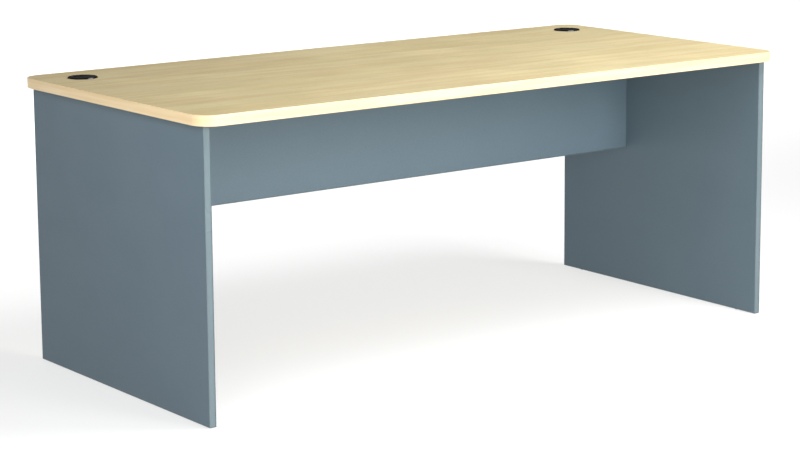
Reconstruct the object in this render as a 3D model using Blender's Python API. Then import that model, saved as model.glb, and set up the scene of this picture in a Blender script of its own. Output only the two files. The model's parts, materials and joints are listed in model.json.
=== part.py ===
"""Teacher's desk: a straight worktop on two full-height end panels with a modesty panel between them.

Metres, +Z up, floor at z = 0. The user sits on the -Y side, so left is -X and right is +X.
The origin is on the floor under the middle of the worktop.
"""

import math

import bmesh
import bpy
from mathutils import Matrix, Vector

# ---- Driving dimensions -------------------------------------------------------------------------
DESK_LENGTH = 1.800
DESK_DEPTH = 0.850
DESK_HEIGHT = 0.720
TOP_THICK = 0.025
TOP_CORNER_RADIUS = 0.050
PANEL_THICK = 0.018
BAND_THICK = 0.002
GAP = 0.0003  # between two pieces that touch

SIDE_OVERHANG = 0.020  # of the worktop past each end panel
END_INSET = 0.030  # of the end panels from the worktop's front and rear edges
FLOOR_CLEARANCE = 0.002  # under the end panels, which stand on their feet
MODESTY_SETBACK = 0.298  # from the worktop's rear edge to the modesty panel's front face
MODESTY_HEIGHT = 0.302  # with its lower edge band

# Levelling feet, one near each end of each end panel
FOOT_Y = 0.320
FOOT_RADIUS = 0.0067
FOOT_HEAD = 0.006
FOOT_CHAMFER = 0.0008
STUD_RADIUS = 0.0037
STUD_LENGTH = 0.024
FOOT_BORE_RADIUS = 0.0072
FOOT_BORE_TOP = 0.0064  # height above the floor of the recess that takes the foot's head
INSERT_RADIUS = 0.0054
INSERT_BORE = 0.0040
INSERT_LENGTH = 0.020
INSERT_HOLE_RADIUS = 0.0057
INSERT_HOLE_TOP = 0.031

# Cable grommets at the worktop's rear corners
GROMMET_INSET_X = 0.110
GROMMET_INSET_Y = 0.120
GROMMET_HOLE_RADIUS = 0.0320
FLANGE_RADIUS = 0.0375
FLANGE_RISE = 0.0030
FLANGE_BEVEL = 0.0012
SLEEVE_RADIUS = 0.0310
SLEEVE_BORE = 0.0290
SLEEVE_DROP = 0.022
SHELF_RISE = 0.0012
SHELF_RADIUS = 0.0342
CAP_RADIUS = 0.0339
PIVOT_HOLE = 0.0043
PIVOT_COUNTERBORE = 0.0066
PIVOT_STEP_RISE = 0.0022
SHUTTER_RADIUS = 0.0268
SHUTTER_THICK = 0.0012
PIVOT_STEM = 0.0040
PIVOT_HEAD = 0.0062
FINGER_SLOT_LENGTH = 0.009
FINGER_SLOT_WIDTH = 0.0014
FINGER_SLOT_DEPTH = 0.0007
CABLE_SLOT_INNER = 0.0115
CABLE_SLOT_OUTER = 0.0255
CABLE_SLOT_HALF_ANGLE = math.radians(32)

# Cam fittings: a cam in one board pulls on a bolt that is screwed into the next board
CAM_SETBACK = 0.034  # from the board's edge to the cam's axis
CAM_RADIUS = 0.0075
CAM_FACE = 0.0003  # depth of the cam's outer face below the board's face
CAM_LENGTH = 0.0134
CAM_BORE_RADIUS = 0.0078
CAM_BORE_DEPTH = 0.0140
CAM_CORE = 0.0018
CHANNEL_LOCKED = 0.0054
CHANNEL_OPEN = 0.0060
CHANNEL_HALF_WIDTH = 0.0028
CHANNEL_MARGIN = math.radians(52)
NECK_SLOT_INNER = 0.0040
NECK_SLOT_HALF_WIDTH = 0.0021
NECK_SLOT_MARGIN = math.radians(26)
CAM_SWEEP = math.radians(180)
DRIVER_LENGTH = 0.0066
DRIVER_WIDTH = 0.0013
DRIVER_DEPTH = 0.0026
BOLT_HEAD_RADIUS = 0.0024
BOLT_HEAD_START = 0.0022
BOLT_HEAD_END = 0.0046
BOLT_NECK_RADIUS = 0.0017
BOLT_NECK_END = 0.0085
BOLT_SHANK_RADIUS = 0.0032
BOLT_BORE_RADIUS = 0.0036
THREAD_RADIUS = 0.0026
THREAD_LENGTH = 0.0110
THREAD_HOLE_RADIUS = 0.0029
THREAD_HOLE_DEPTH = 0.0115
TOP_CAM_Y = {"front": -0.150, "rear": 0.250}
MODESTY_CAM_Z = {"upper": 0.640, "lower": 0.448}

# Wooden dowels
DOWEL_RADIUS = 0.0038
DOWEL_HOLE_RADIUS = 0.0041
DOWEL_IN_EDGE = 0.018
DOWEL_IN_FACE = 0.011
DOWEL_CHAMFER = 0.0009
DOWEL_END_ROOM = 0.0005
TOP_DOWEL_Y = {"front": -0.340, "rear": 0.340}
MODESTY_DOWEL_Z = {"upper": 0.608, "lower": 0.480}
MODESTY_TOP_DOWEL_X = 0.300

# Facets
CORNER_STEPS = 12
GROMMET_FACETS = 32
CAM_FACETS = 18
FOOT_FACETS = 18
HOLE_FACETS = 12
BOLT_FACETS = 10
SECTOR_STEP = math.radians(15)
OVERSHOOT = 0.002  # of a cutter past the face that it enters by
SHARP_ANGLE = math.radians(35)  # an edge that turns more than this is shaded sharp

# ---- Sizes that follow from them ----------------------------------------------------------------
TOP_UNDERSIDE = DESK_HEIGHT - TOP_THICK
TOP_HALF_LENGTH = DESK_LENGTH / 2
TOP_HALF_DEPTH = DESK_DEPTH / 2
END_OUTER_X = TOP_HALF_LENGTH - SIDE_OVERHANG
END_INNER_X = END_OUTER_X - PANEL_THICK
END_MIDDLE_X = END_OUTER_X - PANEL_THICK / 2
END_HALF_DEPTH = TOP_HALF_DEPTH - END_INSET
BOARD_TOP = TOP_UNDERSIDE - GAP
BAND_ROOM = BAND_THICK + GAP
MODESTY_FRONT_Y = TOP_HALF_DEPTH - MODESTY_SETBACK
MODESTY_REAR_Y = MODESTY_FRONT_Y + PANEL_THICK
MODESTY_MIDDLE_Y = MODESTY_FRONT_Y + PANEL_THICK / 2
MODESTY_HALF_LENGTH = END_INNER_X - GAP
MODESTY_BOTTOM = BOARD_TOP - MODESTY_HEIGHT
GROMMET_X = TOP_HALF_LENGTH - GROMMET_INSET_X
GROMMET_Y = TOP_HALF_DEPTH - GROMMET_INSET_Y
SIDES = {"left": -1, "right": 1}

X_AXIS = Vector((1, 0, 0))
Y_AXIS = Vector((0, 1, 0))
Z_AXIS = Vector((0, 0, 1))


# ---- Scene and materials ------------------------------------------------------------------------
def clear_scene():
    for item in list(bpy.data.objects):
        bpy.data.objects.remove(item, do_unlink=True)


def make_material(name, colour, roughness, metallic=0.0):
    material = bpy.data.materials.new(name)
    material.use_nodes = True
    shader = material.node_tree.nodes["Principled BSDF"]
    shader.inputs["Base Color"].default_value = (*colour, 1.0)
    shader.inputs["Roughness"].default_value = roughness
    shader.inputs["Metallic"].default_value = metallic
    material.diffuse_color = (*colour, 1.0)
    return material


def make_materials():
    return {
        "worktop": make_material("worktop_laminate", (0.70, 0.56, 0.34), 0.45),
        "worktop_band": make_material("worktop_band", (0.80, 0.70, 0.49), 0.40),
        "panel": make_material("grey_melamine", (0.17, 0.22, 0.25), 0.50),
        "panel_band": make_material("grey_band", (0.38, 0.46, 0.50), 0.40),
        "grommet": make_material("black_plastic", (0.02, 0.02, 0.025), 0.35),
        "foot": make_material("black_nylon", (0.03, 0.03, 0.03), 0.55),
        "insert": make_material("insert_brass", (0.72, 0.53, 0.23), 0.35, 1.0),
        "cam": make_material("cam_zinc", (0.62, 0.62, 0.60), 0.40, 1.0),
        "bolt": make_material("bolt_steel", (0.66, 0.66, 0.67), 0.30, 1.0),
        "dowel": make_material("dowel_beech", (0.66, 0.46, 0.27), 0.70),
    }


# ---- Mesh building ------------------------------------------------------------------------------
def add_box(mesh, low, high):
    """Adds a closed box between two opposite corners."""
    made = bmesh.ops.create_cube(mesh, size=1.0)
    low, high = Vector(low), Vector(high)
    size = high - low
    bmesh.ops.scale(mesh, vec=size, verts=made["verts"])
    bmesh.ops.translate(mesh, vec=(low + high) / 2, verts=made["verts"])


def add_prism(mesh, outline, bottom, top):
    """Adds a closed prism over an outline of (x, y) points, between two heights."""
    low = [mesh.verts.new((x, y, bottom)) for x, y in outline]
    high = [mesh.verts.new((x, y, top)) for x, y in outline]
    mesh.faces.new(list(reversed(low)))
    mesh.faces.new(high)
    count = len(outline)
    for i in range(count):
        j = (i + 1) % count
        mesh.faces.new((low[i], low[j], high[j], high[i]))


def add_ring_prism(mesh, outer, inner, bottom, top):
    """Adds a closed band between two outlines that have the same number of points."""
    rows = [[mesh.verts.new((x, y, z)) for x, y in outline]
            for outline, z in ((outer, bottom), (outer, top), (inner, top), (inner, bottom))]
    count = len(outer)
    for k, row in enumerate(rows):
        above = rows[(k + 1) % len(rows)]
        for i in range(count):
            j = (i + 1) % count
            mesh.faces.new((row[i], row[j], above[j], above[i]))


def add_turned(mesh, profile, facets, ring=False, place=None):
    """Adds a solid turned about Z from (radius, height) points; a ring's profile closes on itself."""
    place = place or Matrix.Identity(4)
    rows = []
    for radius, height in profile:
        if radius == 0:
            rows.append([mesh.verts.new(place @ Vector((0, 0, height)))])
            continue
        angles = [2 * math.pi * (i + 0.5) / facets for i in range(facets)]
        points = [Vector((radius * math.cos(a), radius * math.sin(a), height)) for a in angles]
        rows.append([mesh.verts.new(place @ point) for point in points])
    pairs = list(zip(rows, rows[1:]))
    if ring:
        pairs.append((rows[-1], rows[0]))
    for row, above in pairs:
        for i in range(facets):
            j = (i + 1) % facets
            corners = [row[i % len(row)], row[j % len(row)], above[j % len(above)], above[i % len(above)]]
            mesh.faces.new(list(dict.fromkeys(corners)))


def aimed(start, direction):
    """The placement whose Z axis points along direction, with its origin at start."""
    turn = Z_AXIS.rotation_difference(Vector(direction)).to_matrix().to_4x4()
    return Matrix.Translation(Vector(start)) @ turn


def add_drill(mesh, mouth, direction, steps, facets=HOLE_FACETS):
    """Adds a cutter for a round hole with a flat bottom. steps are (radius, depth), widest first."""
    profile = [(0, -OVERSHOOT), (steps[0][0], -OVERSHOOT)]
    for k, (radius, depth) in enumerate(steps):
        profile.append((radius, depth))
        if k + 1 < len(steps):
            profile.append((steps[k + 1][0], depth))
    profile.append((0, steps[-1][1]))
    add_turned(mesh, profile, facets, place=aimed(mouth, direction))


def rounded_rectangle(half_length, half_depth, radius):
    """The outline of a rectangle with round corners, counter-clockwise."""
    outline = []
    for quarter, (sx, sy) in enumerate(((1, 1), (-1, 1), (-1, -1), (1, -1))):
        centre = Vector((sx * (half_length - radius), sy * (half_depth - radius)))
        for step in range(CORNER_STEPS + 1):
            angle = math.pi / 2 * (quarter + step / CORNER_STEPS)
            outline.append((centre.x + radius * math.cos(angle), centre.y + radius * math.sin(angle)))
    return outline


def kidney(inner, outer, half_angle, middle_angle):
    """The outline of a curved slot with round ends, about the origin."""
    middle = (inner + outer) / 2
    half_width = (outer - inner) / 2
    arc_steps, end_steps = 6, 5
    outline = []
    for step in range(arc_steps + 1):
        angle = middle_angle - half_angle + 2 * half_angle * step / arc_steps
        outline.append((outer * math.cos(angle), outer * math.sin(angle)))
    outline += slot_end(middle, half_width, middle_angle + half_angle, 0, end_steps)
    for step in range(arc_steps + 1):
        angle = middle_angle + half_angle - 2 * half_angle * step / arc_steps
        outline.append((inner * math.cos(angle), inner * math.sin(angle)))
    outline += slot_end(middle, half_width, middle_angle - half_angle, math.pi, end_steps)
    return outline


def slot_end(middle, half_width, angle, start, steps):
    """The points inside one round end of a curved slot."""
    centre = Vector((middle * math.cos(angle), middle * math.sin(angle)))
    turns = [angle + start + math.pi * step / steps for step in range(1, steps)]
    return [(centre.x + half_width * math.cos(t), centre.y + half_width * math.sin(t)) for t in turns]


def make_object(name, mesh, material=None, location=(0, 0, 0), rotation=None, smooth=False):
    """Puts a built mesh in the scene, its corners given from its own location."""
    bmesh.ops.recalc_face_normals(mesh, faces=mesh.faces)
    data = bpy.data.meshes.new(name)
    mesh.to_mesh(data)
    mesh.free()
    if smooth:
        data.shade_smooth()
        data.set_sharp_from_angle(angle=SHARP_ANGLE)
    if material:
        data.materials.append(material)
    return place_object(name, data, location, rotation)


def place_object(name, data, location=(0, 0, 0), rotation=None):
    item = bpy.data.objects.new(name, data)
    item.location = location
    if rotation:
        item.rotation_euler = rotation.to_euler()
    bpy.context.scene.collection.objects.link(item)
    return item


def cut(item, mesh, label):
    """Cuts the solids in mesh, which are given in world space, out of an object."""
    cutter = make_object(f"{item.name}_{label}_cutter", mesh)
    cutter.hide_render = True
    cutter.display_type = "WIRE"
    modifier = item.modifiers.new(label, "BOOLEAN")
    modifier.operation = "DIFFERENCE"
    modifier.solver = "EXACT"
    modifier.object = cutter
    return cutter


def bake(item):
    """Turns an object's modifiers into its mesh, so that copies can share it, and drops its cutters."""
    cutters = [modifier.object for modifier in item.modifiers]
    depsgraph = bpy.context.evaluated_depsgraph_get()
    data = bpy.data.meshes.new_from_object(item.evaluated_get(depsgraph))
    item.modifiers.clear()
    for used in cutters:
        bpy.data.objects.remove(used, do_unlink=True)
    bpy.data.objects.remove(item, do_unlink=True)
    return data


# ---- Worktop ------------------------------------------------------------------------------------
def build_worktop(materials):
    """The laminated board, drilled for its grommets and fittings, and the band round its edge."""
    outer = rounded_rectangle(TOP_HALF_LENGTH, TOP_HALF_DEPTH, TOP_CORNER_RADIUS)
    band_inner = rounded_rectangle(
        TOP_HALF_LENGTH - BAND_THICK, TOP_HALF_DEPTH - BAND_THICK, TOP_CORNER_RADIUS - BAND_THICK)
    board_outline = rounded_rectangle(
        TOP_HALF_LENGTH - BAND_ROOM, TOP_HALF_DEPTH - BAND_ROOM, TOP_CORNER_RADIUS - BAND_ROOM)
    middle = (0, 0, TOP_UNDERSIDE)

    mesh = bmesh.new()
    add_ring_prism(mesh, outer, band_inner, 0, TOP_THICK)
    make_object("worktop_edge_band", mesh, materials["worktop_band"], middle, smooth=True)

    mesh = bmesh.new()
    add_prism(mesh, board_outline, 0, TOP_THICK)
    board = make_object("worktop_panel", mesh, materials["worktop"], middle)

    holes = bmesh.new()
    for side in SIDES.values():
        mouth = (side * GROMMET_X, GROMMET_Y, DESK_HEIGHT)
        through = [(GROMMET_HOLE_RADIUS, TOP_THICK + OVERSHOOT)]
        add_drill(holes, mouth, -Z_AXIS, through, GROMMET_FACETS)
        for y in TOP_CAM_Y.values():
            mouth = (side * END_MIDDLE_X, y, TOP_UNDERSIDE)
            add_drill(holes, mouth, Z_AXIS, [(THREAD_HOLE_RADIUS, THREAD_HOLE_DEPTH)])
        for y in TOP_DOWEL_Y.values():
            mouth = (side * END_MIDDLE_X, y, TOP_UNDERSIDE)
            add_drill(holes, mouth, Z_AXIS, [(DOWEL_HOLE_RADIUS, DOWEL_IN_FACE + DOWEL_END_ROOM)])
        mouth = (side * MODESTY_TOP_DOWEL_X, MODESTY_MIDDLE_Y, TOP_UNDERSIDE)
        add_drill(holes, mouth, Z_AXIS, [(DOWEL_HOLE_RADIUS, DOWEL_IN_FACE + DOWEL_END_ROOM)])
    cut(board, holes, "holes")


# ---- End panels ---------------------------------------------------------------------------------
def build_end_panel(label, side, materials):
    """A full-height board with a band on its front, rear and bottom edges."""
    faces_x = sorted((side * END_INNER_X, side * END_OUTER_X))
    band_low = FLOOR_CLEARANCE
    board_low = FLOOR_CLEARANCE + BAND_ROOM
    board_half_depth = END_HALF_DEPTH - BAND_ROOM

    mesh = bmesh.new()
    add_box(mesh, (faces_x[0], -board_half_depth, board_low), (faces_x[1], board_half_depth, BOARD_TOP))
    board = make_object(f"{label}_end_panel", mesh, materials["panel"])

    for edge, sign in (("front", -1), ("rear", 1)):
        near, far = sorted((sign * END_HALF_DEPTH, sign * (END_HALF_DEPTH - BAND_THICK)))
        mesh = bmesh.new()
        add_box(mesh, (faces_x[0], near, band_low), (faces_x[1], far, BOARD_TOP))
        make_object(f"{label}_{edge}_edge_band", mesh, materials["panel_band"])

    mesh = bmesh.new()
    low = (faces_x[0], -board_half_depth, band_low)
    add_box(mesh, low, (faces_x[1], board_half_depth, band_low + BAND_THICK))
    bottom_band = make_object(f"{label}_bottom_edge_band", mesh, materials["panel_band"])

    cut(board, end_panel_edge_holes(side, board_low), "edge_holes")
    cut(board, end_panel_face_holes(side), "face_holes")
    cut(bottom_band, foot_holes_in_band(side), "foot_holes")


def end_panel_edge_holes(side, board_low):
    """Bolt bores and dowel holes in the board's top edge, and the feet's recesses in its bottom edge."""
    holes = bmesh.new()
    for y in TOP_CAM_Y.values():
        mouth = (side * END_MIDDLE_X, y, BOARD_TOP)
        add_drill(holes, mouth, -Z_AXIS, [(BOLT_BORE_RADIUS, CAM_SETBACK - CAM_CORE)])
    for y in TOP_DOWEL_Y.values():
        mouth = (side * END_MIDDLE_X, y, BOARD_TOP)
        add_drill(holes, mouth, -Z_AXIS, [(DOWEL_HOLE_RADIUS, DOWEL_IN_EDGE + DOWEL_END_ROOM)])
    for y in (-FOOT_Y, FOOT_Y):
        recess = [(FOOT_BORE_RADIUS, FOOT_BORE_TOP - board_low),
                  (INSERT_HOLE_RADIUS, INSERT_HOLE_TOP - board_low)]
        add_drill(holes, (side * END_MIDDLE_X, y, board_low), Z_AXIS, recess, FOOT_FACETS)
    return holes


def end_panel_face_holes(side):
    """Cam bores, and the modesty panel's bolt and dowel holes, in the board's inner face."""
    holes = bmesh.new()
    outward = side * X_AXIS
    for y in TOP_CAM_Y.values():
        mouth = (side * END_INNER_X, y, TOP_UNDERSIDE - CAM_SETBACK)
        add_drill(holes, mouth, outward, [(CAM_BORE_RADIUS, CAM_BORE_DEPTH)], CAM_FACETS)
    for z in MODESTY_CAM_Z.values():
        mouth = (side * END_INNER_X, MODESTY_MIDDLE_Y, z)
        add_drill(holes, mouth, outward, [(THREAD_HOLE_RADIUS, THREAD_HOLE_DEPTH)])
    for z in MODESTY_DOWEL_Z.values():
        mouth = (side * END_INNER_X, MODESTY_MIDDLE_Y, z)
        add_drill(holes, mouth, outward, [(DOWEL_HOLE_RADIUS, DOWEL_IN_FACE + DOWEL_END_ROOM)])
    return holes


def foot_holes_in_band(side):
    """The holes that let the feet through the bottom edge band."""
    holes = bmesh.new()
    for y in (-FOOT_Y, FOOT_Y):
        through = [(FOOT_BORE_RADIUS, BAND_THICK + OVERSHOOT)]
        add_drill(holes, (side * END_MIDDLE_X, y, FLOOR_CLEARANCE), Z_AXIS, through, FOOT_FACETS)
    return holes


# ---- Modesty panel ------------------------------------------------------------------------------
def build_modesty_panel(materials):
    """The board under the worktop between the end panels, with a band on its lower edge."""
    mesh = bmesh.new()
    low = (-MODESTY_HALF_LENGTH, MODESTY_FRONT_Y, MODESTY_BOTTOM)
    high = (MODESTY_HALF_LENGTH, MODESTY_REAR_Y, MODESTY_BOTTOM + BAND_THICK)
    add_box(mesh, low, high)
    make_object("modesty_lower_edge_band", mesh, materials["panel_band"])

    mesh = bmesh.new()
    low = (-MODESTY_HALF_LENGTH, MODESTY_FRONT_Y, MODESTY_BOTTOM + BAND_ROOM)
    add_box(mesh, low, (MODESTY_HALF_LENGTH, MODESTY_REAR_Y, BOARD_TOP))
    board = make_object("modesty_panel", mesh, materials["panel"])

    edge_holes, cam_bores = bmesh.new(), bmesh.new()
    for side in SIDES.values():
        inward = -side * X_AXIS
        for z in MODESTY_CAM_Z.values():
            mouth = (side * MODESTY_HALF_LENGTH, MODESTY_MIDDLE_Y, z)
            add_drill(edge_holes, mouth, inward, [(BOLT_BORE_RADIUS, CAM_SETBACK - CAM_CORE)])
            mouth = (side * (END_INNER_X - CAM_SETBACK), MODESTY_REAR_Y, z)
            add_drill(cam_bores, mouth, -Y_AXIS, [(CAM_BORE_RADIUS, CAM_BORE_DEPTH)], CAM_FACETS)
        for z in MODESTY_DOWEL_Z.values():
            mouth = (side * MODESTY_HALF_LENGTH, MODESTY_MIDDLE_Y, z)
            add_drill(edge_holes, mouth, inward, [(DOWEL_HOLE_RADIUS, DOWEL_IN_EDGE + DOWEL_END_ROOM)])
        mouth = (side * MODESTY_TOP_DOWEL_X, MODESTY_MIDDLE_Y, BOARD_TOP)
        add_drill(edge_holes, mouth, -Z_AXIS, [(DOWEL_HOLE_RADIUS, DOWEL_IN_EDGE + DOWEL_END_ROOM)])
    cut(board, edge_holes, "edge_holes")
    cut(board, cam_bores, "cam_bores")


# ---- Cable grommets -----------------------------------------------------------------------------
def build_grommet(label, side, materials):
    """A liner in the worktop's hole, a lift-out cap and a shutter that turns under the cap's slot."""
    centre = (side * GROMMET_X, GROMMET_Y, DESK_HEIGHT)
    build_grommet_liner(f"{label}_grommet_liner", centre, materials["grommet"])
    build_grommet_cap(f"{label}_grommet_cap", centre, materials["grommet"])
    build_grommet_shutter(f"{label}_grommet_shutter", centre, materials["grommet"])


def build_grommet_liner(name, centre, material):
    profile = [
        (SLEEVE_BORE, -SLEEVE_DROP),
        (SLEEVE_RADIUS, -SLEEVE_DROP),
        (SLEEVE_RADIUS, GAP),
        (FLANGE_RADIUS, GAP),
        (FLANGE_RADIUS, FLANGE_RISE - FLANGE_BEVEL),
        (FLANGE_RADIUS - FLANGE_BEVEL, FLANGE_RISE),
        (SHELF_RADIUS, FLANGE_RISE),
        (SHELF_RADIUS, SHELF_RISE),
        (SLEEVE_BORE, SHELF_RISE),
    ]
    mesh = bmesh.new()
    add_turned(mesh, profile, GROMMET_FACETS, ring=True)
    make_object(name, mesh, material, centre, smooth=True)


def build_grommet_cap(name, centre, material):
    underside = SHELF_RISE + GAP
    profile = [
        (PIVOT_HOLE, underside),
        (CAP_RADIUS, underside),
        (CAP_RADIUS, FLANGE_RISE),
        (PIVOT_COUNTERBORE, FLANGE_RISE),
        (PIVOT_COUNTERBORE, PIVOT_STEP_RISE),
        (PIVOT_HOLE, PIVOT_STEP_RISE),
    ]
    mesh = bmesh.new()
    add_turned(mesh, profile, GROMMET_FACETS, ring=True)
    cap = make_object(name, mesh, material, centre, smooth=True)
    slot = bmesh.new()
    add_prism(slot, cable_slot(math.pi / 2), SHELF_RISE, FLANGE_RISE + OVERSHOOT)
    cut(cap, slot, "cable_slot").location = centre


def build_grommet_shutter(name, centre, material):
    profile = [
        (0, 0),
        (SHUTTER_RADIUS, 0),
        (SHUTTER_RADIUS, SHUTTER_THICK),
        (PIVOT_STEM, SHUTTER_THICK),
        (PIVOT_STEM, PIVOT_STEP_RISE + GAP),
        (PIVOT_HEAD, PIVOT_STEP_RISE + GAP),
        (PIVOT_HEAD, FLANGE_RISE),
        (0, FLANGE_RISE),
    ]
    mesh = bmesh.new()
    add_turned(mesh, profile, GROMMET_FACETS)
    shutter = make_object(name, mesh, material, centre, smooth=True)
    openings = bmesh.new()
    add_prism(openings, cable_slot(-math.pi / 2), -OVERSHOOT, SHUTTER_THICK + GAP / 2)
    low = (-FINGER_SLOT_LENGTH / 2, -FINGER_SLOT_WIDTH / 2, FLANGE_RISE - FINGER_SLOT_DEPTH)
    high = (FINGER_SLOT_LENGTH / 2, FINGER_SLOT_WIDTH / 2, FLANGE_RISE + OVERSHOOT)
    add_box(openings, low, high)
    cut(shutter, openings, "openings").location = centre


def cable_slot(middle_angle):
    return kidney(CABLE_SLOT_INNER, CABLE_SLOT_OUTER, CABLE_SLOT_HALF_ANGLE, middle_angle)


# ---- Levelling feet -----------------------------------------------------------------------------
def build_feet(materials):
    """Four screw-down glides, each in a threaded insert in the bottom of an end panel."""
    foot_profile = [
        (0, 0),
        (FOOT_RADIUS - FOOT_CHAMFER, 0),
        (FOOT_RADIUS, FOOT_CHAMFER),
        (FOOT_RADIUS, FOOT_HEAD),
        (STUD_RADIUS, FOOT_HEAD),
        (STUD_RADIUS, FOOT_HEAD + STUD_LENGTH),
        (0, FOOT_HEAD + STUD_LENGTH),
    ]
    insert_base = FOOT_BORE_TOP + GAP
    insert_profile = [
        (INSERT_BORE, insert_base),
        (INSERT_RADIUS, insert_base),
        (INSERT_RADIUS, insert_base + INSERT_LENGTH),
        (INSERT_BORE, insert_base + INSERT_LENGTH),
    ]
    for label, side in SIDES.items():
        for end, y in (("front", -FOOT_Y), ("rear", FOOT_Y)):
            where = (side * END_MIDDLE_X, y, 0)
            mesh = bmesh.new()
            add_turned(mesh, foot_profile, FOOT_FACETS)
            make_object(f"{end}_{label}_foot", mesh, materials["foot"], where, smooth=True)
            mesh = bmesh.new()
            add_turned(mesh, insert_profile, FOOT_FACETS, ring=True)
            make_object(f"{end}_{label}_foot_insert", mesh, materials["insert"], where, smooth=True)


# ---- Cam fittings -------------------------------------------------------------------------------
def sector(inner, outer_at, start, end):
    """The outline of a ring's sector; outer_at gives the outer radius at an angle."""
    steps = math.ceil((end - start) / SECTOR_STEP)
    angles = [start + (end - start) * step / steps for step in range(steps + 1)]
    outline = [(outer_at(a) * math.cos(a), outer_at(a) * math.sin(a)) for a in angles]
    outline += [(inner * math.cos(a), inner * math.sin(a)) for a in reversed(angles)]
    return outline


def cam_data(material):
    """One cam, with Z along its bore, inwards, and X towards its bolt when the joint is locked."""
    mesh = bmesh.new()
    add_turned(mesh, [(0, CAM_FACE), (CAM_RADIUS, CAM_FACE),
                      (CAM_RADIUS, CAM_FACE + CAM_LENGTH), (0, CAM_FACE + CAM_LENGTH)], CAM_FACETS)
    cam = make_object("cam", mesh, material, smooth=True)
    middle = PANEL_THICK / 2

    channel = bmesh.new()
    slack = (CHANNEL_OPEN - CHANNEL_LOCKED) / CAM_SWEEP

    def channel_radius(angle):
        """The channel winds outwards from the locked place to the open one."""
        return CHANNEL_LOCKED + slack * min(max(-angle, 0), CAM_SWEEP)

    outline = sector(CAM_CORE, channel_radius, -CAM_SWEEP - CHANNEL_MARGIN, CHANNEL_MARGIN)
    add_prism(channel, outline, middle - CHANNEL_HALF_WIDTH, middle + CHANNEL_HALF_WIDTH)
    cut(cam, channel, "channel")

    neck_slot = bmesh.new()
    past_rim = CAM_RADIUS + OVERSHOOT
    neck_start = -CAM_SWEEP - NECK_SLOT_MARGIN
    outline = sector(NECK_SLOT_INNER, lambda angle: past_rim, neck_start, NECK_SLOT_MARGIN)
    add_prism(neck_slot, outline, middle - NECK_SLOT_HALF_WIDTH, middle + NECK_SLOT_HALF_WIDTH)
    cut(cam, neck_slot, "neck_slot")

    mouth = bmesh.new()
    low = (-past_rim, -CHANNEL_HALF_WIDTH, middle - CHANNEL_HALF_WIDTH)
    add_box(mouth, low, (-BOLT_HEAD_START, CHANNEL_HALF_WIDTH, middle + CHANNEL_HALF_WIDTH))
    cut(cam, mouth, "mouth")

    arms = {"long": (DRIVER_LENGTH, DRIVER_WIDTH), "cross": (DRIVER_WIDTH, DRIVER_LENGTH)}
    for label, (length, width) in arms.items():
        recess = bmesh.new()
        low = (-length / 2, -width / 2, CAM_FACE - OVERSHOOT)
        add_box(recess, low, (length / 2, width / 2, CAM_FACE + DRIVER_DEPTH))
        cut(cam, recess, f"driver_{label}")
    return bake(cam)


def bolt_data(material):
    """One cam bolt, with Z along it from the cam's axis outwards."""
    shank_end = CAM_SETBACK - GAP
    head_chamfer = 0.0006
    profile = [
        (0, BOLT_HEAD_START),
        (BOLT_HEAD_RADIUS - head_chamfer, BOLT_HEAD_START),
        (BOLT_HEAD_RADIUS, BOLT_HEAD_START + head_chamfer),
        (BOLT_HEAD_RADIUS, BOLT_HEAD_END),
        (BOLT_NECK_RADIUS, BOLT_HEAD_END),
        (BOLT_NECK_RADIUS, BOLT_NECK_END),
        (BOLT_SHANK_RADIUS, BOLT_NECK_END),
        (BOLT_SHANK_RADIUS, shank_end),
        (THREAD_RADIUS, shank_end),
        (THREAD_RADIUS, CAM_SETBACK + THREAD_LENGTH),
        (0, CAM_SETBACK + THREAD_LENGTH),
    ]
    mesh = bmesh.new()
    add_turned(mesh, profile, BOLT_FACETS)
    return bake(make_object("cam_bolt", mesh, material, smooth=True))


def place_cam_fitting(prefix, suffix, cam, bolt, axis_point, inward, towards_bolt):
    """Places a cam, facing out of its board's face, and the bolt that it holds."""
    across = inward.cross(towards_bolt)
    turn = Matrix((towards_bolt, across, inward)).transposed()
    place_object(f"{prefix}cam_{suffix}", cam, axis_point, turn)
    middle = Vector(axis_point) + inward * (PANEL_THICK / 2)
    bolt_turn = Z_AXIS.rotation_difference(towards_bolt).to_matrix()
    place_object(f"{prefix}cam_bolt_{suffix}", bolt, middle, bolt_turn)


def build_cam_fittings(materials):
    """Four fittings hold the worktop on the end panels, and four hold the modesty panel between them."""
    cam, bolt = cam_data(materials["cam"]), bolt_data(materials["bolt"])
    for label, side in SIDES.items():
        outward = side * X_AXIS
        for end, y in TOP_CAM_Y.items():
            axis_point = (side * END_INNER_X, y, TOP_UNDERSIDE - CAM_SETBACK)
            place_cam_fitting("top_", f"{label}_{end}", cam, bolt, axis_point, outward, Z_AXIS)
        for level, z in MODESTY_CAM_Z.items():
            axis_point = (side * (END_INNER_X - CAM_SETBACK), MODESTY_REAR_Y, z)
            place_cam_fitting("modesty_", f"{label}_{level}", cam, bolt, axis_point, -Y_AXIS, outward)


# ---- Dowels -------------------------------------------------------------------------------------
def dowel_data(material):
    """One dowel, with Z along it from the joint's face into the board that it enters endways."""
    profile = [
        (0, -DOWEL_IN_FACE),
        (DOWEL_RADIUS - DOWEL_CHAMFER, -DOWEL_IN_FACE),
        (DOWEL_RADIUS, -DOWEL_IN_FACE + DOWEL_CHAMFER),
        (DOWEL_RADIUS, DOWEL_IN_EDGE - DOWEL_CHAMFER),
        (DOWEL_RADIUS - DOWEL_CHAMFER, DOWEL_IN_EDGE),
        (0, DOWEL_IN_EDGE),
    ]
    mesh = bmesh.new()
    add_turned(mesh, profile, HOLE_FACETS)
    return bake(make_object("dowel", mesh, material, smooth=True))


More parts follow.
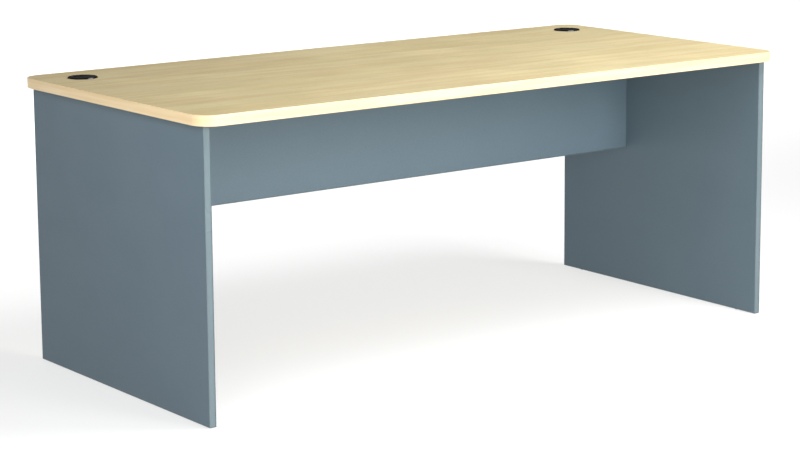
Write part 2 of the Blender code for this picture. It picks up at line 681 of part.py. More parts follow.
def build_dowels(materials):
    """Dowels locate the worktop on the panels, and the modesty panel between the end panels."""
    dowel = dowel_data(materials["dowel"])
    downwards = Z_AXIS.rotation_difference(-Z_AXIS).to_matrix()
    for label, side in SIDES.items():
        inwards = Z_AXIS.rotation_difference(-side * X_AXIS).to_matrix()
        for end, y in TOP_DOWEL_Y.items():
            where = (side * END_MIDDLE_X, y, TOP_UNDERSIDE)
            place_object(f"top_dowel_{label}_{end}", dowel, where, downwards)
        for level, z in MODESTY_DOWEL_Z.items():
            where = (side * END_INNER_X, MODESTY_MIDDLE_Y, z)
            place_object(f"modesty_dowel_{label}_{level}", dowel, where, inwards)
        where = (side * MODESTY_TOP_DOWEL_X, MODESTY_MIDDLE_Y, TOP_UNDERSIDE)
        place_object(f"modesty_top_dowel_{label}", dowel, where, downwards)


def build_desk():
    clear_scene()
    materials = make_materials()
    build_worktop(materials)
    for label, side in SIDES.items():
        build_end_panel(label, side, materials)
        build_grommet(label, side, materials)
    build_modesty_panel(materials)
    build_feet(materials)
    build_cam_fittings(materials)
    build_dowels(materials)


build_desk()
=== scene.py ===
"""The looks of the teacher's desk: finer edge bands and grommets, and a material for every piece.

Metres, +Z up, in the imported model's own frame: +X to the seated user's right, +Y away from the user.
"""

import json
import math

import bmesh
import bpy
from mathutils import Matrix, Vector


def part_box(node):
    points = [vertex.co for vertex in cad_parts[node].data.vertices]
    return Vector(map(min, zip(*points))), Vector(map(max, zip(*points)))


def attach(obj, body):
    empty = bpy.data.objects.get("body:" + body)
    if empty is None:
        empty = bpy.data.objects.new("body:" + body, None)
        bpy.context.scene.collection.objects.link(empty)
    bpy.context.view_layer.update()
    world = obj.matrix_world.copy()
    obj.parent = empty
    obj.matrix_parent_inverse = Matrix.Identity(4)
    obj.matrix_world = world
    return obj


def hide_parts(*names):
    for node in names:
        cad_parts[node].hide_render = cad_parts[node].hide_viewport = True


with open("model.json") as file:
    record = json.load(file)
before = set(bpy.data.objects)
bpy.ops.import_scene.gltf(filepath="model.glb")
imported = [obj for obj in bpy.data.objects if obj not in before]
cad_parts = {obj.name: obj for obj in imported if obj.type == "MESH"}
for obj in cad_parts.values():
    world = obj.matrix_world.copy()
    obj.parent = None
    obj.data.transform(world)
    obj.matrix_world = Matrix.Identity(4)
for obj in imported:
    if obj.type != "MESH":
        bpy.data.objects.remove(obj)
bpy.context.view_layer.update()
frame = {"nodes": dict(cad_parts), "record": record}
SIDES = ("left", "right")

# ---- Sizes --------------------------------------------------------------------------------------
TOP_ARRIS = 0.0008  # rounding of the worktop band's upper corner
BAND_ARRIS = 0.0010  # and of every other outer corner of a band
ARRIS_STEPS = 5
TOP_CORNER_RADIUS = 0.050
TOP_CORNER_STEPS = 24
ROUND_FACETS = 96
ROUND_STEPS = 4
MOST_ROUNDED = 0.45  # of an edge's length, by the rounding of one of its ends
FINE = 0.0003  # rounding of a moulding's ordinary corners
EPSILON = 0.00001
SHARP_ANGLE = math.radians(32)
FITTING_SLOTS = ("black_nylon", "cam_zinc")  # materials of the feet and cams
FITTING_ROUNDING, FITTING_STEPS = 0.00025, 2

# A cable grommet: radii, and heights above the worktop's surface
FLANGE_RADIUS, FLANGE_RISE, RIM_SLOPE = 0.0375, 0.0030, 0.0017
SLEEVE_RADIUS, SLEEVE_BORE, SLEEVE_DROP = 0.0310, 0.0290, 0.022
SHELF_RADIUS, SHELF_RISE, SEAT_GAP = 0.0342, 0.0012, 0.0003
CAP_RADIUS = 0.0339
PIVOT_HOLE, PIVOT_RECESS, PIVOT_STEP = 0.0043, 0.0066, 0.0022
PIVOT_STEM, PIVOT_HEAD = 0.0040, 0.0062
SHUTTER_RADIUS, SHUTTER_THICK = 0.0268, 0.0012
SLOT_INNER, SLOT_OUTER, SLOT_HALF_ANGLE = 0.0115, 0.0255, math.radians(32)
SLOT_STEPS, SLOT_END_STEPS, SLOT_OVERSHOOT = 16, 10, 0.001
FINGER_SLOT = (0.009, 0.0014, 0.0007)  # length, width and depth

# ---- Camera, lights and floor -------------------------------------------------------------------
CAMERA_PLACE = Vector((-3.5442, -4.6833, 1.4900))
CAMERA_HEADING = math.radians(37.80)  # to the right of straight ahead
CAMERA_TILT = math.radians(-9.875)
CAMERA_ROLL = math.radians(0.253)
CAMERA_LENS = 103.49
CAMERA_SHIFT = (-0.050, -0.082)
SENSOR_WIDTH = 36.0
NEAREST_SEEN, FARTHEST_SEEN = 0.05, 200.0

AMBIENT, BACKDROP = 0.06, 1.0  # strength of the white surroundings as light, and as seen
FLOOR_HALF_WIDTH, FLOOR_GREY, FLOOR_GLOW, FLOOR_ROUGHNESS = 30.0, 0.38, 0.60, 0.9
LIGHTS = {  # place, aim, size, watts and spread in degrees
    "overhead": ((1.0, -1.1, 2.6), (0.0, 0.0, 0.45), (1.6, 1.2), 90, 180),
    "front": ((-1.0, -2.8, 0.8), (0.0, 0.0, 0.45), (1.6, 1.2), 24, 180),
    "right": ((0.7, -3.6, 1.5), (0.0, 0.0, 0.45), (1.6, 1.2), 100, 180),
    "left": ((-2.1, -1.1, 1.5), (0.0, 0.0, 0.45), (1.6, 1.2), 29, 180),
    "behind": ((2.5, 5.5, 3.4), (2.5, 5.5, 0.0), (10.0, 6.0), 450, 110),
}


def make_camera():
    data = bpy.data.cameras.new("camera")
    data.lens = CAMERA_LENS
    data.sensor_width = SENSOR_WIDTH
    data.shift_x, data.shift_y = CAMERA_SHIFT
    data.clip_start, data.clip_end = NEAREST_SEEN, FARTHEST_SEEN
    camera = bpy.data.objects.new("camera", data)
    bpy.context.scene.collection.objects.link(camera)
    forward = Vector((
        math.sin(CAMERA_HEADING) * math.cos(CAMERA_TILT),
        math.cos(CAMERA_HEADING) * math.cos(CAMERA_TILT),
        math.sin(CAMERA_TILT)))
    level = Vector((math.cos(CAMERA_HEADING), -math.sin(CAMERA_HEADING), 0))
    upright = level.cross(forward)
    right = level * math.cos(CAMERA_ROLL) - upright * math.sin(CAMERA_ROLL)
    up = level * math.sin(CAMERA_ROLL) + upright * math.cos(CAMERA_ROLL)
    turn = Matrix((right, up, -forward)).transposed().to_4x4()
    camera.matrix_world = Matrix.Translation(CAMERA_PLACE) @ turn
    bpy.context.scene.camera = camera


def add_area_light(name, place, aim, size, power, spread):
    data = bpy.data.lights.new(name, "AREA")
    data.shape = "RECTANGLE"
    data.size, data.size_y = size
    data.energy = power
    data.spread = spread
    light = bpy.data.objects.new(name, data)
    light.location = place
    light.rotation_euler = (Vector(aim) - Vector(place)).to_track_quat("-Z", "Y").to_euler()
    bpy.context.scene.collection.objects.link(light)


def make_lights():
    world = bpy.data.worlds.new("studio")
    world.use_nodes = True
    nodes, links = world.node_tree.nodes, world.node_tree.links
    background = nodes["Background"]
    background.inputs["Color"].default_value = (1.0, 1.0, 1.0, 1.0)
    seen = nodes.new("ShaderNodeLightPath").outputs["Is Camera Ray"]
    strength = nodes.new("ShaderNodeMapRange")
    strength.inputs["To Min"].default_value = AMBIENT
    strength.inputs["To Max"].default_value = BACKDROP
    links.new(seen, strength.inputs["Value"])
    links.new(strength.outputs["Result"], background.inputs["Strength"])
    bpy.context.scene.world = world
    for name, (place, aim, size, power, spread) in LIGHTS.items():
        add_area_light(name, place, aim, size, power, math.radians(spread))
    bpy.context.scene.view_settings.view_transform = "Standard"


def make_floor():
    mesh = bmesh.new()
    bmesh.ops.create_grid(mesh, x_segments=1, y_segments=1, size=FLOOR_HALF_WIDTH)
    data = bpy.data.meshes.new("floor")
    mesh.to_mesh(data)
    mesh.free()
    floor = bpy.data.objects.new("floor", data)
    bpy.context.scene.collection.objects.link(floor)
    material = bpy.data.materials.new("floor")
    material.use_nodes = True
    shader = material.node_tree.nodes["Principled BSDF"]
    shader.inputs["Base Color"].default_value = (FLOOR_GREY, FLOOR_GREY, FLOOR_GREY, 1.0)
    shader.inputs["Roughness"].default_value = FLOOR_ROUGHNESS
    shader.inputs["Emission Color"].default_value = (1.0, 1.0, 1.0, 1.0)
    shader.inputs["Emission Strength"].default_value = FLOOR_GLOW
    data.materials.append(material)


# ---- Material building blocks -------------------------------------------------------------------
COLOUR_A, COLOUR_B, COLOUR_RESULT = 6, 7, 2  # the Mix node's colour sockets, which share their names


class Graph:
    """A material's nodes, added and linked by short calls. Pieces are textured in their own metres."""

    def __init__(self, name, roughness=0.5, metallic=0.0, specular=0.5):
        self.material = bpy.data.materials.new(name)
        self.material.use_nodes = True
        self.tree = self.material.node_tree
        self.shader = self.tree.nodes["Principled BSDF"]
        self.shader.inputs["Roughness"].default_value = roughness
        self.shader.inputs["Metallic"].default_value = metallic
        self.shader.inputs["Specular IOR Level"].default_value = specular
        self.place = self.tree.nodes.new("ShaderNodeTexCoord").outputs["Object"]

    def put(self, socket, value):
        """Sets an input to a number or colour, or links it to another node's output."""
        if isinstance(value, bpy.types.NodeSocket):
            self.tree.links.new(value, socket)
        else:
            socket.default_value = value

    def stretched(self, scale, shift=(0, 0, 0)):
        """The piece's coordinates, multiplied along each axis and then shifted."""
        node = self.tree.nodes.new("ShaderNodeMapping")
        self.put(node.inputs["Vector"], self.place)
        node.inputs["Location"].default_value = shift
        node.inputs["Scale"].default_value = scale
        return node.outputs["Vector"]

    def noise(self, where, scale, detail=2.0, roughness=0.5):
        node = self.tree.nodes.new("ShaderNodeTexNoise")
        self.put(node.inputs["Vector"], where)
        node.inputs["Scale"].default_value = scale
        node.inputs["Detail"].default_value = detail
        node.inputs["Roughness"].default_value = roughness
        return node.outputs["Fac"]

    def cells(self, where, scale):
        node = self.tree.nodes.new("ShaderNodeTexVoronoi")
        self.put(node.inputs["Vector"], where)
        node.inputs["Scale"].default_value = scale
        return node.outputs["Distance"]

    def ranged(self, value, low, high, to_low=0.0, to_high=1.0):
        """value eased from low..high to to_low..to_high, and held at those ends."""
        node = self.tree.nodes.new("ShaderNodeMapRange")
        node.interpolation_type = "SMOOTHSTEP"
        self.put(node.inputs["Value"], value)
        ends = {"From Min": low, "From Max": high, "To Min": to_low, "To Max": to_high}
        for label, number in ends.items():
            node.inputs[label].default_value = number
        return node.outputs["Result"]

    def maths(self, first, second, operation="ADD"):
        node = self.tree.nodes.new("ShaderNodeMath")
        node.operation = operation
        self.put(node.inputs[0], first)
        self.put(node.inputs[1], second)
        return node.outputs["Value"]

    def blend(self, amount, first, second):
        """Two colours blended by an amount from 0 to 1."""
        node = self.tree.nodes.new("ShaderNodeMix")
        node.data_type = "RGBA"
        self.put(node.inputs["Factor"], amount)
        self.put(node.inputs[COLOUR_A], first)
        self.put(node.inputs[COLOUR_B], second)
        return node.outputs[COLOUR_RESULT]

    def colour(self, value):
        self.put(self.shader.inputs["Base Color"], value)

    def roughness(self, value):
        self.put(self.shader.inputs["Roughness"], value)

    def bump(self, height, distance, strength=1.0):
        node = self.tree.nodes.new("ShaderNodeBump")
        node.inputs["Strength"].default_value = strength
        node.inputs["Distance"].default_value = distance
        self.put(node.inputs["Height"], height)
        self.put(self.shader.inputs["Normal"], node.outputs["Normal"])


def srgb(red, green, blue):
    """A linear colour from one given in 0 to 255 as a screen shows it."""
    def linear(value):
        value /= 255
        return value / 12.92 if value <= 0.04045 else ((value + 0.055) / 1.055) ** 2.4
    return (linear(red), linear(green), linear(blue), 1.0)


# ---- Materials ----------------------------------------------------------------------------------
def worktop_laminate():
    """A matt printed beech laminate: pale streaks, fine lines and short flecks, all along X."""
    g = Graph("worktop_laminate", roughness=0.42, specular=0.45)
    sway = g.noise(g.stretched((0.9, 3.0, 1.0)), 1.6, detail=1.0)
    warped = g.tree.nodes.new("ShaderNodeVectorMath")
    warped.operation = "MULTIPLY_ADD"
    g.put(warped.inputs[0], sway)
    warped.inputs[1].default_value = (0.0, 0.045, 0.0)
    g.put(warped.inputs[2], g.place)
    g.place = warped.outputs["Vector"]
    broad = g.noise(g.stretched((1.0, 16.0, 1.0)), 2.4, detail=4.0, roughness=0.55)
    rosy = g.noise(g.stretched((1.3, 22.0, 1.0), shift=(3.0, 5.0, 0.0)), 1.7, detail=3.0)
    lines = g.noise(g.stretched((6.0, 260.0, 1.0)), 2.0, detail=5.0, roughness=0.62)
    pores = g.noise(g.stretched((55.0, 1400.0, 1.0), shift=(1.0, 2.0, 0.0)), 1.0, detail=1.0)
    colour = g.blend(g.ranged(broad, 0.36, 0.66), srgb(204, 191, 150), srgb(194, 177, 133))
    colour = g.blend(g.ranged(rosy, 0.50, 0.72, 0.0, 0.45), colour, srgb(199, 171, 136))
    colour = g.blend(g.ranged(lines, 0.46, 0.72, 0.0, 0.30), colour, srgb(173, 152, 111))
    colour = g.blend(g.ranged(lines, 0.30, 0.46, 0.30, 0.0), colour, srgb(217, 208, 172))
    fleck = g.ranged(pores, 0.64, 0.72, 0.0, 0.55)
    colour = g.blend(fleck, colour, srgb(144, 111, 73))
    g.colour(colour)
    rubbed = g.noise(g.stretched((2.0, 3.0, 1.0)), 2.2, detail=4.0)
    g.roughness(g.ranged(rubbed, 0.35, 0.70, 0.36, 0.47))
    g.bump(g.maths(lines, g.maths(fleck, -0.8, "MULTIPLY")), 0.00006, 0.6)
    return g.material


def worktop_band():
    """A pale matching edge band with a faint printed grain along its length and a satin face."""
    g = Graph("worktop_band", roughness=0.36, specular=0.5)
    lines = g.noise(g.stretched((5.0, 5.0, 420.0)), 1.5, detail=4.0, roughness=0.6)
    broad = g.noise(g.stretched((2.2, 2.2, 60.0)), 1.5, detail=3.0)
    colour = g.blend(g.ranged(broad, 0.35, 0.68), srgb(232, 208, 166), srgb(224, 197, 150))
    colour = g.blend(g.ranged(lines, 0.48, 0.75, 0.0, 0.35), colour, srgb(209, 179, 133))
    g.colour(colour)
    scuffed = g.noise(g.stretched((30.0, 30.0, 60.0)), 1.2, detail=3.0)
    g.roughness(g.ranged(scuffed, 0.35, 0.70, 0.30, 0.42))
    g.bump(lines, 0.00004, 0.5)
    return g.material


def grey_melamine():
    """Blue-grey melamine paper under a fine matt pearl texture."""
    g = Graph("grey_melamine", roughness=0.5, specular=0.4)
    cloud = g.noise(g.stretched((1.0, 1.0, 1.0)), 4.0, detail=4.0, roughness=0.6)
    speck = g.noise(g.stretched((1.0, 1.0, 1.0)), 950.0, detail=2.0, roughness=0.7)
    weave = g.noise(g.stretched((120.0, 120.0, 900.0)), 1.0, detail=2.0)
    colour = g.blend(g.ranged(cloud, 0.30, 0.70), srgb(90, 108, 119), srgb(92, 110, 121))
    colour = g.blend(g.ranged(speck, 0.52, 0.72, 0.0, 0.45), colour, srgb(112, 130, 143))
    colour = g.blend(g.ranged(speck, 0.28, 0.46, 0.40, 0.0), colour, srgb(73, 89, 101))
    colour = g.blend(g.ranged(weave, 0.45, 0.75, 0.0, 0.16), colour, srgb(78, 95, 107))
    g.colour(colour)
    handled = g.noise(g.stretched((3.0, 3.0, 5.0)), 2.0, detail=5.0, roughness=0.6)
    g.roughness(g.ranged(handled, 0.35, 0.70, 0.49, 0.54))
    pearl = g.cells(g.stretched((1.0, 1.0, 1.0)), 700.0)
    g.bump(g.maths(pearl, g.maths(speck, 0.6, "MULTIPLY")), 0.00005, 0.55)
    return g.material


def grey_band():
    """A silver-grey edge band with faint extrusion lines and a satin face."""
    g = Graph("grey_band", roughness=0.34, specular=0.5)
    drawn = g.noise(g.stretched((900.0, 900.0, 4.0)), 1.0, detail=2.0)
    cloud = g.noise(g.stretched((8.0, 8.0, 3.0)), 1.5, detail=3.0)
    colour = g.blend(g.ranged(cloud, 0.30, 0.70), srgb(98, 113, 118), srgb(102, 118, 123))
    colour = g.blend(g.ranged(drawn, 0.50, 0.75, 0.0, 0.25), colour, srgb(90, 104, 109))
    g.colour(colour)
    g.roughness(g.ranged(cloud, 0.30, 0.70, 0.20, 0.28))
    g.bump(drawn, 0.00003, 0.4)
    return g.material


def moulded_plastic(name, shade, scale, roughness):
    """Black moulded plastic with a fine spark-eroded texture and a few paler rubbed places."""
    g = Graph(name, roughness=roughness, specular=0.25)
    grain = g.noise(g.stretched((1.0, 1.0, 1.0)), scale, detail=3.0, roughness=0.65)
    rub = g.noise(g.stretched((1.0, 1.0, 1.0)), 60.0, detail=4.0)
    grained, rubbed = (srgb(*(value + paler for value in shade)) for paler in (8, 22))
    colour = g.blend(g.ranged(grain, 0.35, 0.70), srgb(*shade), grained)
    colour = g.blend(g.ranged(rub, 0.58, 0.80, 0.0, 0.30), colour, rubbed)
    g.colour(colour)
    g.roughness(g.ranged(rub, 0.30, 0.75, roughness - 0.06, roughness + 0.10))
    g.bump(grain, 0.00004, 0.5)
    return g.material


def cast_zinc():
    """Die-cast zinc: dull, slightly mottled, with a fine skin."""
    g = Graph("cam_zinc", roughness=0.4, metallic=1.0)
    mottle = g.noise(g.stretched((1.0, 1.0, 1.0)), 320.0, detail=4.0, roughness=0.6)
    grain = g.noise(g.stretched((1.0, 1.0, 1.0)), 2200.0, detail=2.0)
    g.colour(g.blend(g.ranged(mottle, 0.30, 0.70), srgb(186, 186, 184), srgb(160, 161, 161)))
    g.roughness(g.ranged(mottle, 0.30, 0.70, 0.30, 0.52))
    g.bump(grain, 0.00003, 0.5)
    return g.material


def plated_steel():
    """Bright zinc-plated steel with turning marks round it."""
    g = Graph("bolt_steel", roughness=0.3, metallic=1.0)
    turned = g.noise(g.stretched((400.0, 400.0, 2600.0)), 1.0, detail=2.0)
    tint = g.noise(g.stretched((1.0, 1.0, 1.0)), 90.0, detail=3.0)
    g.colour(g.blend(g.ranged(tint, 0.35, 0.65), srgb(196, 199, 204), srgb(206, 200, 184)))
    g.roughness(g.ranged(turned, 0.30, 0.70, 0.20, 0.38))
    g.bump(turned, 0.00003, 0.4)
    return g.material


def turned_brass():
    """Brass from the lathe, a little dulled."""
    g = Graph("insert_brass", roughness=0.35, metallic=1.0)
    turned = g.noise(g.stretched((200.0, 200.0, 3000.0)), 1.0, detail=2.0)
    dull = g.noise(g.stretched((1.0, 1.0, 1.0)), 160.0, detail=4.0)
    g.colour(g.blend(g.ranged(dull, 0.35, 0.70), srgb(214, 178, 98), srgb(170, 132, 66)))
    g.roughness(g.ranged(dull, 0.30, 0.70, 0.24, 0.46))
    g.bump(turned, 0.00004, 0.4)
    return g.material


def dowel_beech():
    """Bare beech with fine long pores."""
    g = Graph("dowel_beech", roughness=0.7, specular=0.3)
    grain = g.noise(g.stretched((900.0, 900.0, 900.0)), 1.0, detail=3.0)
    broad = g.noise(g.stretched((1.0, 1.0, 1.0)), 120.0, detail=3.0)
    colour = g.blend(g.ranged(broad, 0.35, 0.65), srgb(214, 178, 132), srgb(196, 156, 108))
    g.colour(g.blend(g.ranged(grain, 0.55, 0.75, 0.0, 0.5), colour, srgb(160, 118, 76)))
    g.roughness(g.ranged(grain, 0.30, 0.70, 0.60, 0.78))
    g.bump(grain, 0.00008, 0.5)
    return g.material


def make_materials():
    return {
        "worktop_laminate": worktop_laminate(),
        "worktop_band": worktop_band(),
        "grey_melamine": grey_melamine(),
        "grey_band": grey_band(),
        "black_plastic": moulded_plastic("black_plastic", (12, 12, 16), 1500.0, 0.18),
        "black_nylon": moulded_plastic("black_nylon", (26, 26, 26), 900.0, 0.50),
        "insert_brass": turned_brass(),
        "cam_zinc": cast_zinc(),
        "bolt_steel": plated_steel(),
        "dowel_beech": dowel_beech(),
    }


def dress_nodes(materials):
    """Gives every CAD node its slot's material, and takes the sharp edges off small fittings."""
    for subpart in frame["record"]["subparts"]:
        node, slot = frame["nodes"][subpart["node"]], subpart["material_slot"]
        node.data.materials.clear()
        node.data.materials.append(materials[slot])
        if slot in FITTING_SLOTS:
            bevel = node.modifiers.new("soft_edges", "BEVEL")
            bevel.width, bevel.segments = FITTING_ROUNDING, FITTING_STEPS
            bevel.limit_method, bevel.angle_limit = "ANGLE", SHARP_ANGLE
            bevel.harden_normals = True


# ---- Pieces that replace CAD nodes --------------------------------------------------------------
def add_rows(mesh, rows):
    """Faces between each closed row of points and the next, and between the last and the first."""
    made = [[mesh.verts.new(point) for point in row] for row in rows]
    for k, row in enumerate(made):
        above = made[(k + 1) % len(made)]
        for i in range(len(row)):
            j = (i + 1) % len(row)
            mesh.faces.new((row[i], row[j], above[j], above[i]))


def add_prism(mesh, outline, lift):
    """A closed solid between an outline of points and the same outline moved by lift."""
    low = [mesh.verts.new(point) for point in outline]
    high = [mesh.verts.new(Vector(point) + lift) for point in outline]
    mesh.faces.new(list(reversed(low)))
    mesh.faces.new(high)
    for i in range(len(low)):
        j = (i + 1) % len(low)
        mesh.faces.new((low[i], low[j], high[j], high[i]))


def finish_piece(mesh, slot, materials, body, node):
    """Makes a piece that stands for a CAD node, with its material and the body it rides on."""
    bmesh.ops.recalc_face_normals(mesh, faces=mesh.faces)
    name = f"{node}_finished"
    data = bpy.data.meshes.new(name)
    mesh.to_mesh(data)
    mesh.free()
    data.shade_smooth()
    data.set_sharp_from_angle(angle=SHARP_ANGLE)
    data.materials.append(materials[slot])
    piece = bpy.data.objects.new(name, data)
    bpy.context.scene.collection.objects.link(piece)
    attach(piece, body)
    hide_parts(node)


def arris(radius):
    """A quarter round's points, as distances in from the two faces of a square corner."""
    angles = [math.pi / 2 * step / ARRIS_STEPS for step in range(ARRIS_STEPS + 1)]
    return [(radius * (1 - math.sin(a)), radius * (1 - math.cos(a))) for a in angles]


def rounded_loop(low, high, inset, height):
    """The worktop's outline with its round corners, set in by inset, at a height."""
    points = []
    radius = TOP_CORNER_RADIUS
    corner = radius - inset
    centres = [(high.x - radius, high.y - radius), (low.x + radius, high.y - radius),
               (low.x + radius, low.y + radius), (high.x - radius, low.y + radius)]
    for quarter, (x, y) in enumerate(centres):
        for step in range(TOP_CORNER_STEPS + 1):
            angle = math.pi / 2 * (quarter + step / TOP_CORNER_STEPS)
            points.append((x + corner * math.cos(angle), y + corner * math.sin(angle), height))
    return points


def build_worktop_band(materials):
    """The band round the worktop, with both outer arrises rounded."""
    node = "worktop_edge_band"
    low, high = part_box(node)
    board_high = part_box("worktop_panel")[1]
    thick = high.x - board_high.x - EPSILON
    section = [(inset, low.z + rise) for inset, rise in arris(BAND_ARRIS)]
    section += [(inset, high.z - rise) for inset, rise in arris(TOP_ARRIS)]
    section.sort(key=lambda point: point[1])
    section = [(thick, low.z)] + section + [(thick, high.z)]
    mesh = bmesh.new()
    add_rows(mesh, [rounded_loop(low, high, inset, height) for inset, height in section])
    finish_piece(mesh, "worktop_band", materials, "desk", node)


def build_strip(node, face, along, materials):
    """A straight edge band whose outer face looks along face, with its two long arrises rounded."""
    low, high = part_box(node)
    face, along = Vector(face), Vector(along)
    across = along.cross(face)
    middle, half = (low + high) / 2, (high - low) / 2
    depth, width, length = (abs(half.dot(axis)) for axis in (face, across, along))
    outline = [(-depth, -width)]
    outline += [(depth - inset, -width + rise) for rise, inset in arris(BAND_ARRIS)]
    outline += [(depth - inset, width - rise) for rise, inset in reversed(arris(BAND_ARRIS))]
    outline.append((-depth, width))
    start = middle - along * length
    points = [start + face * out + across * side for out, side in outline]
    mesh = bmesh.new()
    add_prism(mesh, points, along * 2 * length)
    finish_piece(mesh, "grey_band", materials, "desk", node)


def build_bands(materials):
    build_worktop_band(materials)
    for side in SIDES:
        build_strip(f"{side}_front_edge_band", (0, -1, 0), (0, 0, 1), materials)
        build_strip(f"{side}_rear_edge_band", (0, 1, 0), (0, 0, 1), materials)
    build_strip("modesty_lower_edge_band", (0, 0, -1), (1, 0, 0), materials)


def softened(profile, radius, closed=True):
    """A profile with each corner rounded."""
    corners = [Vector(point) for point in profile]
    soft = []
    for i, corner in enumerate(corners):
        if not closed and i in (0, len(corners) - 1):
            soft.append(corner)
            continue
        before, after = corners[i - 1] - corner, corners[(i + 1) % len(corners)] - corner
        reach = min(radius, MOST_ROUNDED * before.length, MOST_ROUNDED * after.length)
        start, end = corner + before.normalized() * reach, corner + after.normalized() * reach
        for step in range(ROUND_STEPS + 1):
            t = step / ROUND_STEPS
            soft.append(start * (1 - t) ** 2 + corner * 2 * t * (1 - t) + end * t ** 2)
    return soft


def turned(profile, centre, closed=True):
    """A mesh turned about the vertical through centre, from (radius, height) points."""
    mesh = bmesh.new()
    angles = [2 * math.pi * i / ROUND_FACETS for i in range(ROUND_FACETS)]
    rows = []
    for radius, height in profile:
        if radius < EPSILON:
            rows.append([mesh.verts.new(centre + Vector((0, 0, height)))])
            continue
        spots = [Vector((radius * math.cos(a), radius * math.sin(a), height)) for a in angles]
        rows.append([mesh.verts.new(centre + spot) for spot in spots])
    pairs = list(zip(rows, rows[1:])) + ([(rows[-1], rows[0])] if closed else [])
    for row, above in pairs:
        for i in range(ROUND_FACETS):
            j = (i + 1) % ROUND_FACETS
            low, high = len(row), len(above)  # 1 where the profile meets the axis
            loop = [row[i % low], row[j % low], above[j % high], above[i % high]]
            mesh.faces.new(list(dict.fromkeys(loop)))
    bmesh.ops.recalc_face_normals(mesh, faces=mesh.faces)
    return mesh


def kidney(centre, towards):
    """The curved cable slot's outline about centre, its middle at the angle towards."""
    middle = (SLOT_INNER + SLOT_OUTER) / 2
    half_width = (SLOT_OUTER - SLOT_INNER) / 2
    outline = []
    for radius, end, start in ((SLOT_OUTER, 1, 0.0), (SLOT_INNER, -1, math.pi)):
        for step in range(SLOT_STEPS + 1):
            angle = towards - end * SLOT_HALF_ANGLE * (1 - 2 * step / SLOT_STEPS)
            outline.append((radius * math.cos(angle), radius * math.sin(angle)))
        angle = towards + end * SLOT_HALF_ANGLE
        for step in range(1, SLOT_END_STEPS):
            turn = angle + start + math.pi * step / SLOT_END_STEPS
            outline.append((middle * math.cos(angle) + half_width * math.cos(turn),
                            middle * math.sin(angle) + half_width * math.sin(turn)))
    return [centre + Vector((x, y, 0)) for x, y in outline]


def cut_away(mesh, cutters):
    """The mesh with closed cutter meshes taken out of it, one after another."""
    base = bpy.data.objects.new("base", bpy.data.meshes.new("base"))
    bpy.context.scene.collection.objects.link(base)
    mesh.to_mesh(base.data)
    mesh.free()
    spent = [base]
    for cutter in cutters:
        bmesh.ops.recalc_face_normals(cutter, faces=cutter.faces)
        tool = bpy.data.objects.new("tool", bpy.data.meshes.new("tool"))
        bpy.context.scene.collection.objects.link(tool)
        cutter.to_mesh(tool.data)
        cutter.free()
        spent.append(tool)
        modifier = base.modifiers.new("cut", "BOOLEAN")
        modifier.solver = "EXACT"
        modifier.object = tool
    depsgraph = bpy.context.evaluated_depsgraph_get()
    result = bmesh.new()
    result.from_mesh(base.evaluated_get(depsgraph).to_mesh())
    for item in spent:
        bpy.data.objects.remove(item, do_unlink=True)
    return result


def grommet_centre(side):
    """The middle of a grommet on the worktop's upper surface."""
    low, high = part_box(f"{side}_grommet_liner")
    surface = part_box("worktop_panel")[1].z
    return Vector(((low.x + high.x) / 2, (low.y + high.y) / 2, surface))


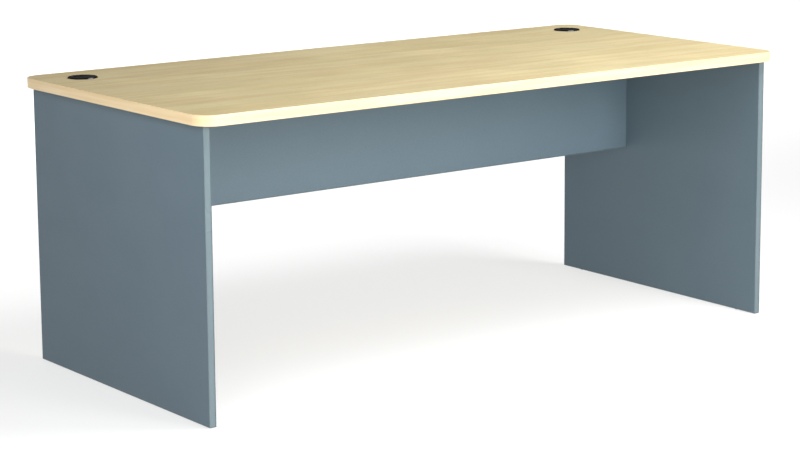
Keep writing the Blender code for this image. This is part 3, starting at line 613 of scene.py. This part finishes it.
def build_grommet(side, materials):
    """The liner with its soft rim, the cap with its curved slot, and the shutter behind the slot."""
    centre = grommet_centre(side)
    liner = [(SLEEVE_BORE, -SLEEVE_DROP), (SLEEVE_RADIUS, -SLEEVE_DROP),
             (SLEEVE_RADIUS, SEAT_GAP), (FLANGE_RADIUS, SEAT_GAP),
             (FLANGE_RADIUS - RIM_SLOPE, FLANGE_RISE), (SHELF_RADIUS, FLANGE_RISE),
             (SHELF_RADIUS, SHELF_RISE), (SLEEVE_BORE, SHELF_RISE)]
    mesh = turned(softened(liner, FINE), centre)
    finish_piece(mesh, "black_plastic", materials, "desk", f"{side}_grommet_liner")

    underside = SHELF_RISE + SEAT_GAP
    cap = [(PIVOT_HOLE, underside), (CAP_RADIUS, underside), (CAP_RADIUS, FLANGE_RISE),
           (PIVOT_RECESS, FLANGE_RISE), (PIVOT_RECESS, PIVOT_STEP), (PIVOT_HOLE, PIVOT_STEP)]
    slot = bmesh.new()
    start = centre + Vector((0, 0, underside - SLOT_OVERSHOOT))
    add_prism(slot, kidney(start, math.pi / 2), Vector((0, 0, FLANGE_RISE)))
    name = f"{side}_grommet_cap"
    mesh = cut_away(turned(softened(cap, FINE), centre), [slot])
    finish_piece(mesh, "black_plastic", materials, name, name)

    shutter = [(0, 0), (SHUTTER_RADIUS, 0),
               (SHUTTER_RADIUS, SHUTTER_THICK), (PIVOT_STEM, SHUTTER_THICK),
               (PIVOT_STEM, PIVOT_STEP + SEAT_GAP), (PIVOT_HEAD, PIVOT_STEP + SEAT_GAP),
               (PIVOT_HEAD, FLANGE_RISE), (0, FLANGE_RISE)]
    slot = bmesh.new()
    start = centre - Vector((0, 0, SLOT_OVERSHOOT))
    lift = Vector((0, 0, SLOT_OVERSHOOT + SHUTTER_THICK + EPSILON))
    add_prism(slot, kidney(start, -math.pi / 2), lift)
    groove = bmesh.new()
    half_length, half_width = FINGER_SLOT[0] / 2, FINGER_SLOT[1] / 2
    corners = ((-1, -1), (1, -1), (1, 1), (-1, 1))
    bed = centre + Vector((0, 0, FLANGE_RISE - FINGER_SLOT[2]))
    outline = [bed + Vector((x * half_length, y * half_width, 0)) for x, y in corners]
    add_prism(groove, outline, Vector((0, 0, FLANGE_RISE)))
    name = f"{side}_grommet_shutter"
    body = turned(softened(shutter, FINE, closed=False), centre, closed=False)
    mesh = cut_away(body, [slot, groove])
    finish_piece(mesh, "black_plastic", materials, name, name)


# ---- Everything together ------------------------------------------------------------------------
def build_scene():
    make_camera()
    make_lights()
    make_floor()
    materials = make_materials()
    dress_nodes(materials)
    build_bands(materials)
    for side in SIDES:
        build_grommet(side, materials)


build_scene()
